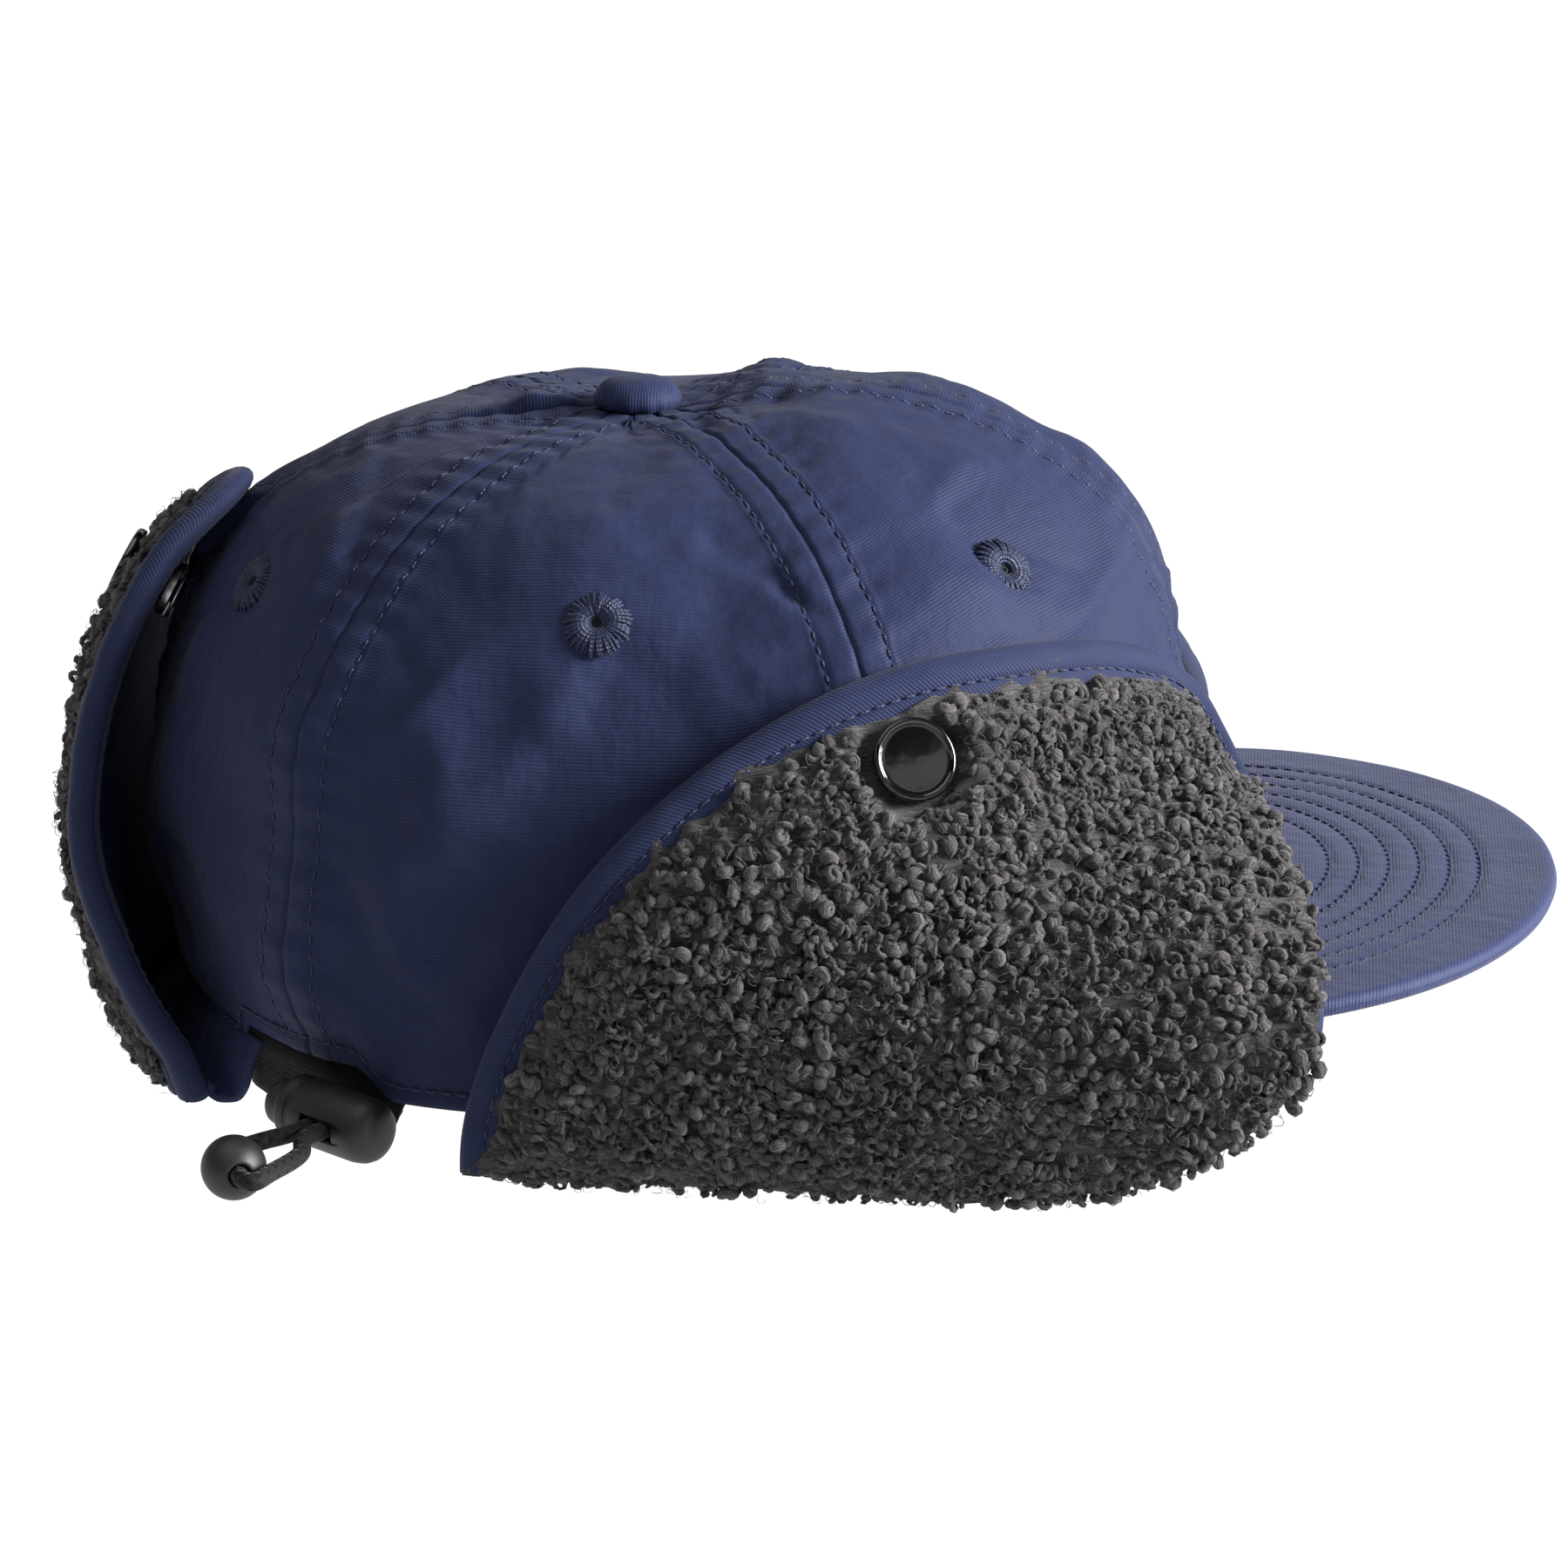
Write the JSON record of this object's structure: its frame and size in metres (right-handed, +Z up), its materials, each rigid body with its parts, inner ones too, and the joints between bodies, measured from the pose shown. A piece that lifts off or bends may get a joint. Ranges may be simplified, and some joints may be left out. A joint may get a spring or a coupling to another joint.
{
  "type": "trapper hat",
  "caption": "Soft six-panel cap with a curved front visor, fold-up sherpa ear flaps and neck flap held by snaps, and an elastic cord with a lock at the rear hem.",
  "frame": {"origin": "under the middle of the cap's own box, on the plane that the folded flaps rest on", "axes": "+Z up, -Y ahead along the visor, -X the wearer's right side, where the ear flap and the cord lock are nearest the cord's end"},
  "size_m": [0.2183, 0.2766, 0.1236],
  "materials": {
    "nylon": "matte woven nylon with a soft sheen",
    "visor_nylon": "matte woven nylon, stretched smooth",
    "binding": "bias-cut twill tape",
    "thread": "satin embroidery thread",
    "lining": "thin plain-woven lining",
    "sherpa": "long curled pile, matte",
    "webbing": "coarse woven tape",
    "elastic": "braided elastic cord",
    "plastic": "moulded, fine satin",
    "snap_enamel": "glossy enamel",
    "steel": "plain bright steel",
    "visor_board": "plain sheet"
  },
  "bodies": {
    "hat": {"crown_panel_front_right": "nylon", "crown_panel_front_left": "nylon", "crown_panel_side_right": "nylon", "crown_panel_side_left": "nylon", "crown_panel_back_right": "nylon", "crown_panel_back_left": "nylon", "crown_lining": "lining", "sweatband": "lining", "top_button": "nylon", "top_button_rivet": "steel", "eyelet_front_right": "thread", "eyelet_front_left": "thread", "eyelet_side_right": "thread", "eyelet_side_left": "thread", "eyelet_back_right": "thread", "eyelet_back_left": "thread", "visor_top_cover": "visor_nylon", "visor_board": "visor_board", "visor_under_cover": "visor_nylon", "ear_fold_right": "nylon", "ear_fold_left": "nylon", "neck_fold": "nylon", "ear_snap_right_back": "steel", "ear_snap_left_back": "steel", "neck_snap_back": "steel", "ear_snap_right_stud": "steel", "ear_snap_left_stud": "steel", "neck_snap_stud": "steel", "hem_elastic": "elastic", "hem_tape": "webbing", "cord_loop": "elastic", "cord_bead": "plastic"},
    "ear_flap_right": {"ear_flap_right_shell": "nylon", "ear_flap_right_sherpa": "sherpa", "ear_flap_right_binding": "binding", "ear_snap_right_cap": "snap_enamel", "ear_snap_right_socket": "steel"},
    "ear_flap_left": {"ear_flap_left_shell": "nylon", "ear_flap_left_sherpa": "sherpa", "ear_flap_left_binding": "binding", "ear_snap_left_cap": "snap_enamel", "ear_snap_left_socket": "steel"},
    "neck_flap": {"neck_flap_shell": "nylon", "neck_flap_sherpa": "sherpa", "neck_flap_binding": "binding", "neck_snap_cap": "snap_enamel", "neck_snap_socket": "steel"},
    "cord_lock": {"cord_lock_barrel": "plastic", "cord_lock_spring": "steel"},
    "cord_lock_plunger": {"cord_lock_plunger": "plastic"}
  },
  "joints": [
    {"name": "ear_flap_right_fold", "type": "hinge", "parent": "hat", "child": "ear_flap_right", "pos_m": [-0.086, 0.012, 0.001], "axis": [0, -1, 0], "range_deg": [0, 160]},
    {"name": "ear_flap_left_fold", "type": "hinge", "parent": "hat", "child": "ear_flap_left", "pos_m": [0.086, 0.012, 0.001], "axis": [0, 1, 0], "range_deg": [0, 160]},
    {"name": "neck_flap_fold", "type": "hinge", "parent": "hat", "child": "neck_flap", "pos_m": [0, 0.117, 0.001], "axis": [-1, 0, 0], "range_deg": [0, 150]},
    {"name": "cord_lock_slide", "type": "slide", "parent": "hat", "child": "cord_lock", "axis": [-0.8211, 0.5708, 0], "range_m": [0, 0.004]},
    {"name": "cord_lock_press", "type": "slide", "parent": "cord_lock", "child": "cord_lock_plunger", "axis": [-0.5703, -0.8205, -0.04], "range_m": [0, 0.0025], "stiffness_N_per_m": 1200, "springref_m": -0.0015, "deforming": ["cord_lock_spring"]}
  ]
}
